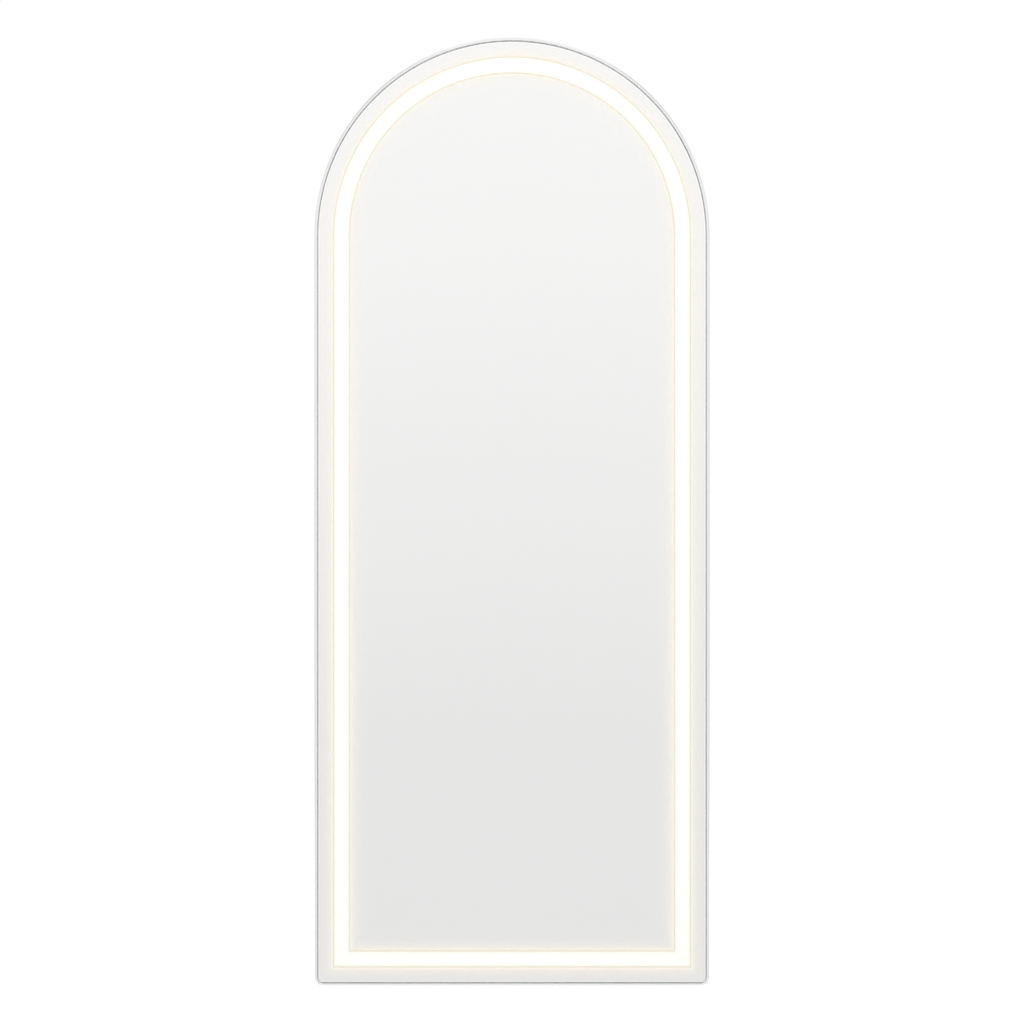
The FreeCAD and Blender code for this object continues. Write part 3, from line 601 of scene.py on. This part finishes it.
# ---- Back panel ----
# Zinc-coated sheet steel, 0.8 mm, pressed with two upright stiffening beads and powder coated white. The
# coat has a fine orange peel, and a little dust lies in it.
powder, given, out = group(
    "PowderCoat",
    [("Colour", "Color", (0.8, 0.8, 0.8, 1)), ("Peel Size", "Float", 700.0), ("Sheen", "Float", 0.35)],
    finish_results,
)
spot = object_point(powder)
peel = add(powder, "TexNoise", {"Vector": spot, "Scale": given["Peel Size"], "Detail": 1.5})
uneven = add(powder, "TexNoise", {"Vector": spot, "Scale": 6.0, "Detail": 4.0})
dust = add(powder, "TexNoise", {"Vector": spot, "Scale": 60.0, "Detail": 6.0, "Roughness": 0.7})
coat_tone = scaled(powder, uneven.outputs[0], 0.3, 0.7, 0.975, 1.0)
coat = blend(powder, 1.0, given["Colour"], coat_tone, "MULTIPLY")
dust_share = scaled(powder, dust.outputs[0], 0.55, 0.85, 0.0, 0.10)
dust_rough = scaled(powder, dust.outputs[0], 0.4, 0.8, 0.0, 0.2)
put_out(powder, out, blend(powder, dust_share, coat, (0.55, 0.53, 0.50, 1)),
        work_out(powder, "ADD", given["Sheen"], dust_rough), peel.outputs[0])

white_steel, tree, shader = surface("white_steel", 0.4)
coat = place(tree, powder, Colour=(0.80, 0.80, 0.79, 1), Peel_Size=650.0, Sheen=0.34)
wear(tree, shader, coat, 0.5, 0.16 * mm)
dress(white_steel, "back_panel")


# ---- Screws ----
# Zinc-plated thread-forming screws with pan heads and a cross recess. The same screw closes the back panel
# all round the frame's flange and holds the wiring box with its lid.
def cross_screw(head, height, shank, length):
    """Pan head with a cross recess on a threaded shank, its top at 0 and pointing down Z."""
    pitch = 0.55 * mm
    plain_end = 0.8 * mm
    flat_share, crown_share, root_share, point_share = 0.62, 0.72, 0.80, 0.45
    dome = [(0, 0)] + [(head * (flat_share + 0.38 * math.sin(a)), -height * crown_share * (1 - math.cos(a)))
                       for a in quarter(6)]
    body = [(head, -height), (shank, -height)]
    for i in range(int((length - height - plain_end) / pitch)):
        body += [(shank * root_share, -height - pitch * (i + 0.5)), (shank, -height - pitch * (i + 1))]
    tip = [(shank * point_share, -length), (0, -length)]
    bar = prism(4, head * flat_share, 0.2 * mm, -height * crown_share, narrow=0.55, across=0.22)
    return cut_from(lathe(dome + body + tip, 40), [(bar, 0.0), (bar, math.radians(90))])


head_height = 1.8 * mm
shank_radius = 1.5 * mm
turn_apart = 0.7
screw_sets = (("panel_screw_set", "back_panel_screws"), ("wiring_box_screw_set", "terminal_box_screws"))
for name, node in screw_sets:
    boxes = repeats(node, 12 * mm)
    low, high = boxes[0]
    drawn_screw = cross_screw((high.x - low.x) / 2, head_height, shank_radius, high.y - low.y)
    turned = [square_to_wall(*box) @ Matrix.Rotation(turn_apart * i, 4, "Z") for i, box in enumerate(boxes)]
    set_in_place(name, drawn_screw, turned, screw_zinc, node)
dress(screw_zinc, "driver_screws", "clamp_screws", "earth_stud")


# ---- Wall buffers ----
# Two moulded rubber buffers, pushed into the panel near its foot, that keep the mirror parallel to the
# wall. Each has a rounded face with a shallow dimple and a stem behind the panel.
clean_roughness = 0.62
rubber_group, given, out = group(
    "Rubber",
    [("Colour", "Color", (0.03, 0.03, 0.03, 1)), ("Dust", "Float", 0.3)],
    finish_results,
)
spot = object_point(rubber_group)
skin_grain = add(rubber_group, "TexNoise", {"Vector": spot, "Scale": 1500.0, "Detail": 3.0})
film = add(rubber_group, "TexNoise", {"Vector": spot, "Scale": 130.0, "Detail": 5.0})
film_mask = scaled(rubber_group, film.outputs[0], 0.4, 0.8)
film_share = work_out(rubber_group, "MULTIPLY", film_mask, given["Dust"])
film_rough = work_out(rubber_group, "MULTIPLY", film_share, 0.5)
put_out(rubber_group, out, blend(rubber_group, film_share, given["Colour"], (0.35, 0.34, 0.32, 1)),
        work_out(rubber_group, "ADD", clean_roughness, film_rough), skin_grain.outputs[0])


def rubber_finish(name, colour, dust):
    """Matt moulded rubber with a film of dust."""
    material, tree, shader = surface(name, 0.65)
    skin = place(tree, rubber_group, Colour=(*colour, 1), Dust=dust)
    wear(tree, shader, skin, 0.3, 0.05 * mm)
    return material


buffer_rubber = rubber_finish("buffer_rubber", (0.045, 0.045, 0.048), 0.35)
boxes = repeats("wall_bumpers", 30 * mm)
low, high = boxes[0]
buffer_wide = (high.x - low.x) / 2
buffer_narrow = buffer_wide - 1.5 * mm
buffer_deep = 12.5 * mm
buffer_stem = 2.4 * mm
buffer_round = 1.4 * mm
buffer_length = high.y - low.y
dimple_depth = 0.9 * mm
buffer_profile = (
    [(0, -dimple_depth), (2.6 * mm, -dimple_depth), (3.3 * mm, -0.1 * mm), (3.9 * mm, 0)]
    + rounded(buffer_narrow, buffer_round, 6)
    + [(buffer_wide - 0.25 * mm, -buffer_deep + 0.4 * mm), (buffer_wide - 0.3 * mm, -buffer_deep),
       (buffer_stem, -buffer_deep), (buffer_stem, -buffer_length + 0.8 * mm),
       (buffer_stem * 0.6, -buffer_length), (0, -buffer_length)]
)
set_in_place("buffer_pair", lathe(buffer_profile, 48), [square_to_wall(*box) for box in boxes],
             buffer_rubber, "wall_bumpers")


# ---- Light channel with its clips, strip and diffuser ----
# A white-lacquered aluminium channel follows the light band and snaps into spring clips on the back panel.
# The strip stands on edge inside its outer wall, and an opal acrylic sheet lies over its mouth.
channel_white, tree, shader = surface("channel_white", 0.3)
coat = place(tree, powder, Colour=(0.86, 0.86, 0.85, 1), Peel_Size=1400.0, Sheen=0.28)
wear(tree, shader, coat, 0.1, 0.05 * mm)
dress(channel_white, "led_channel")
dress(zinc_finish("clip_zinc", (0.68, 0.69, 0.70), 500.0, 0.32), "channel_clips")

strip_board, tree, shader = surface("strip_board", 0.45)
mask = add(tree, "TexNoise", {"Vector": object_point(tree), "Scale": 500.0, "Detail": 3.0})
board_tone = steps(tree, mask.outputs[0], [(0.35, (0.76, 0.76, 0.74)), (0.65, (0.82, 0.82, 0.80))])
into(tree, shader, Base_Color=board_tone)
dress(strip_board, "led_strip")

chip_back = 23.4 * mm
chip_front = 24.1 * mm
chip_lens, tree, shader = surface("chip_lens", 0.3)
lens = scaled(tree, place(tree, outline_inset)["Inset"], chip_back, chip_front)
chip_tone = steps(tree, lens, [(0.0, (0.80, 0.78, 0.70)), (0.6, (0.90, 0.80, 0.45))])
chip_light = steps(tree, lens, [(0.3, (0.2, 0.18, 0.14)), (0.8, (1.0, 0.90, 0.68))])
into(tree, shader, Base_Color=chip_tone, Emission_Color=chip_light)
shader.inputs["Emission Strength"].default_value = 1.5
dress(chip_lens, "led_chips")

opal, tree, shader = surface("opal_sheet", 0.4)
# The opal colour, dimmer and warmer towards the edges, is also set as emission: a painted glow for the
# strip's light through the sheet.
opal_tone_and_painted_glow = steps(tree, from_band_middle(tree), [(0.5, (0.90, 0.89, 0.86)), (1.0, (0.80, 0.77, 0.71))])
into(tree, shader, Base_Color=opal_tone_and_painted_glow, Emission_Color=opal_tone_and_painted_glow)
shader.inputs["Emission Strength"].default_value = 0.6
dress(opal, "diffuser")


# ---- Driver ----
# A slim closed supply in a grey lacquered aluminium case between two moulded end covers, screwed to the
# inside of the back panel through the covers' ears.
moulded, given, out = group(
    "MouldedPlastic",
    [("Colour", "Color", (0.8, 0.8, 0.8, 1)), ("Grain Size", "Float", 900.0), ("Sheen", "Float", 0.4)],
    finish_results,
)
spot = object_point(moulded)
spark = add(moulded, "TexNoise", {"Vector": spot, "Scale": given["Grain Size"], "Detail": 4.0,
                                  "Roughness": 0.65})
flow = add(moulded, "TexNoise", {"Vector": spot, "Scale": 25.0, "Detail": 3.0, "Distortion": 0.8})
flow_tone = scaled(moulded, flow.outputs[0], 0.3, 0.7, 0.97, 1.0)
scuff = scaled(moulded, flow.outputs[0], 0.3, 0.8, -0.04, 0.08)
put_out(moulded, out, blend(moulded, 1.0, given["Colour"], flow_tone, "MULTIPLY"),
        work_out(moulded, "ADD", given["Sheen"], scuff), spark.outputs[0])


def moulded_finish(name, colour, grain, sheen, strength):
    """Injection-moulded plastic with an eroded tool texture."""
    material, tree, shader = surface(name, sheen)
    skin = place(tree, moulded, Colour=(*colour, 1), Grain_Size=grain, Sheen=sheen)
    wear(tree, shader, skin, strength, 0.08 * mm)
    return material


driver_case, tree, shader = surface("driver_case", 0.35, 0.6)
drawn = add(tree, "VectorMath", {0: object_point(tree), 1: (12.0, 2200.0, 2200.0)}, operation="MULTIPLY")
metal = place(tree, extrusion, Colour=(0.66, 0.67, 0.68, 1), Sheen=0.36, Lines=drawn.outputs[0])
wear(tree, shader, metal)
dress(driver_case, "led_driver")
dress(moulded_finish("end_cover_plastic", (0.70, 0.71, 0.72), 1100.0, 0.45, 0.25), "driver_end_caps")


# ---- Wiring box ----
# A white flame-retardant moulding set into the back panel, with a flat lid over the whole flange. Inside it
# are a three-pole screw terminal and the saddle that grips the supply cable.
box_white = moulded_finish("white_moulding", (0.84, 0.84, 0.83), 700.0, 0.42, 0.35)
dress(box_white, "terminal_box_base", "terminal_box_lid", "cable_clamp")
block_plastic = moulded_finish("block_moulding", (0.78, 0.77, 0.72), 900.0, 0.35, 0.2)
dress(block_plastic, "terminal_block", "strip_connector")

brass, tree, shader = surface("terminal_brass", 0.3, 1.0)
tarnish = add(tree, "TexNoise", {"Vector": object_point(tree), "Scale": 400.0, "Detail": 4.0})
into(tree, shader,
     Base_Color=steps(tree, tarnish.outputs[0], [(0.35, (0.60, 0.44, 0.20)), (0.65, (0.80, 0.63, 0.32))]),
     Roughness=scaled(tree, tarnish.outputs[0], to_low=0.22, to_high=0.42))
dress(brass, "terminal_screws")

bush_rubber = rubber_finish("bush_rubber", (0.10, 0.10, 0.105), 0.3)
(low, high), = repeats("cable_grommet", 60 * mm)
bush_outer = (high.x - low.x) / 2
bush_neck = 8.0 * mm
bush_bore = 4.5 * mm
bush_deep = high.y - low.y
bush_rim = 1.6 * mm
bush_round = 1.2 * mm
bush_chamfer = 0.5 * mm
bush_profile = (
    [(bush_bore, -bush_deep * 0.5), (bush_bore, -bush_chamfer), (bush_bore + bush_chamfer, 0)]
    + rounded(bush_outer, bush_round, 5)
    + [(bush_outer, -bush_rim), (bush_neck, -bush_rim), (bush_neck, -bush_deep + bush_rim),
       (bush_outer, -bush_deep + bush_rim)]
    + [(bush_outer - bush_round + bush_round * math.cos(a), -bush_deep + bush_round * (1 - math.sin(a)))
       for a in quarter(5)]
    + [(bush_bore + bush_chamfer, -bush_deep), (bush_bore, -bush_deep + bush_chamfer),
       (bush_bore, -bush_deep * 0.5)]
)
set_in_place("cable_bush", lathe(bush_profile, 56), [square_to_wall(low, high)], bush_rubber,
             "cable_grommet")


# ---- Leads ----
# Short held leads inside the mirror: white sheathed flex from the wiring box to the driver and on to the
# strip, each through a rubber bush, and a green and yellow earth lead to a welded stud on the panel.
sheath, tree, shader = surface("lead_sheath", 0.4)
skin = place(tree, moulded, Colour=(0.82, 0.82, 0.80, 1), Grain_Size=600.0, Sheen=0.38)
wear(tree, shader, skin)
dress(sheath, "input_lead", "output_lead")
dress(bush_rubber, "channel_grommet", "lead_grommet")

earth_green = (0.05, 0.30, 0.06)
earth_yellow = (0.80, 0.72, 0.05)
stripe_slant = 0.3
stripes_per_metre = 350.0
earth, tree, shader = surface("earth_sheath", 0.35)
x, y, z = add(tree, "SeparateXYZ", {0: object_point(tree)}).outputs
slant = work_out(tree, "MULTIPLY", work_out(tree, "ADD", x, z), stripe_slant)
run = work_out(tree, "ADD", y, slant)
stripe = work_out(tree, "FRACT", work_out(tree, "MULTIPLY", run, stripes_per_metre))
into(tree, shader, Base_Color=steps(tree, stripe, [
    (0.0, earth_green), (0.62, earth_green), (0.64, earth_yellow), (1.0, earth_yellow),
]))
dress(earth, "earth_lead")


# ---- Hanging bar and its rivets ----
# Folded from 2 mm zinc-plated steel: a plate riveted to the back panel and a hook over the wall rail, with
# a tab bent down at each end. Aluminium blind rivets, each with the hole that its mandrel left.
dress(zinc_finish("hanging_bar_zinc", (0.70, 0.71, 0.73), 95.0, 0.30), "hanging_bar")

rivet_metal, tree, shader = surface("rivet_aluminium", 0.35, 1.0)
dull = add(tree, "TexNoise", {"Vector": object_point(tree), "Scale": 700.0, "Detail": 3.0})
into(tree, shader,
     Base_Color=steps(tree, dull.outputs[0], [(0.3, grey(0.68)), (0.7, grey(0.78))]),
     Roughness=scaled(tree, dull.outputs[0], to_low=0.3, to_high=0.5))
boxes = repeats("bar_rivets", 20 * mm)
low, high = boxes[0]
rivet_head = (high.x - low.x) / 2
rivet_rise = 1.4 * mm
rivet_bore = 1.3 * mm
rivet_shank = 2.4 * mm
rivet_bulb = 3.6 * mm
rivet_length = high.y - low.y
rivet_profile = (
    [(0, -rivet_rise * 1.5), (rivet_bore * 0.8, -rivet_rise * 1.5), (rivet_bore, -0.1 * mm)]
    + [(rivet_bore + (rivet_head - rivet_bore) * share, -(rivet_rise - 0.3 * mm) * share ** 3)
       for share in (0.05, 0.3, 0.5, 0.7, 0.85, 1.0)]
    + [(rivet_head, -rivet_rise), (rivet_shank, -rivet_rise), (rivet_shank, -4.2 * mm),
       (rivet_bulb, -4.6 * mm), (rivet_bulb, -6.8 * mm), (2.6 * mm, -rivet_length), (0, -rivet_length)]
)
set_in_place("bar_rivet_set", lathe(rivet_profile, 40), [square_to_wall(*box) for box in boxes],
             rivet_metal, "bar_rivets")


# ---- Wall rail ----
# Folded from 2 mm zinc-plated steel and screwed to the wall through two holes. Its upper lip stands off
# the wall, and the mirror's hook drops behind it.
dress(zinc_finish("wall_rail_zinc", (0.66, 0.67, 0.69), 80.0, 0.33), "wall_rail")
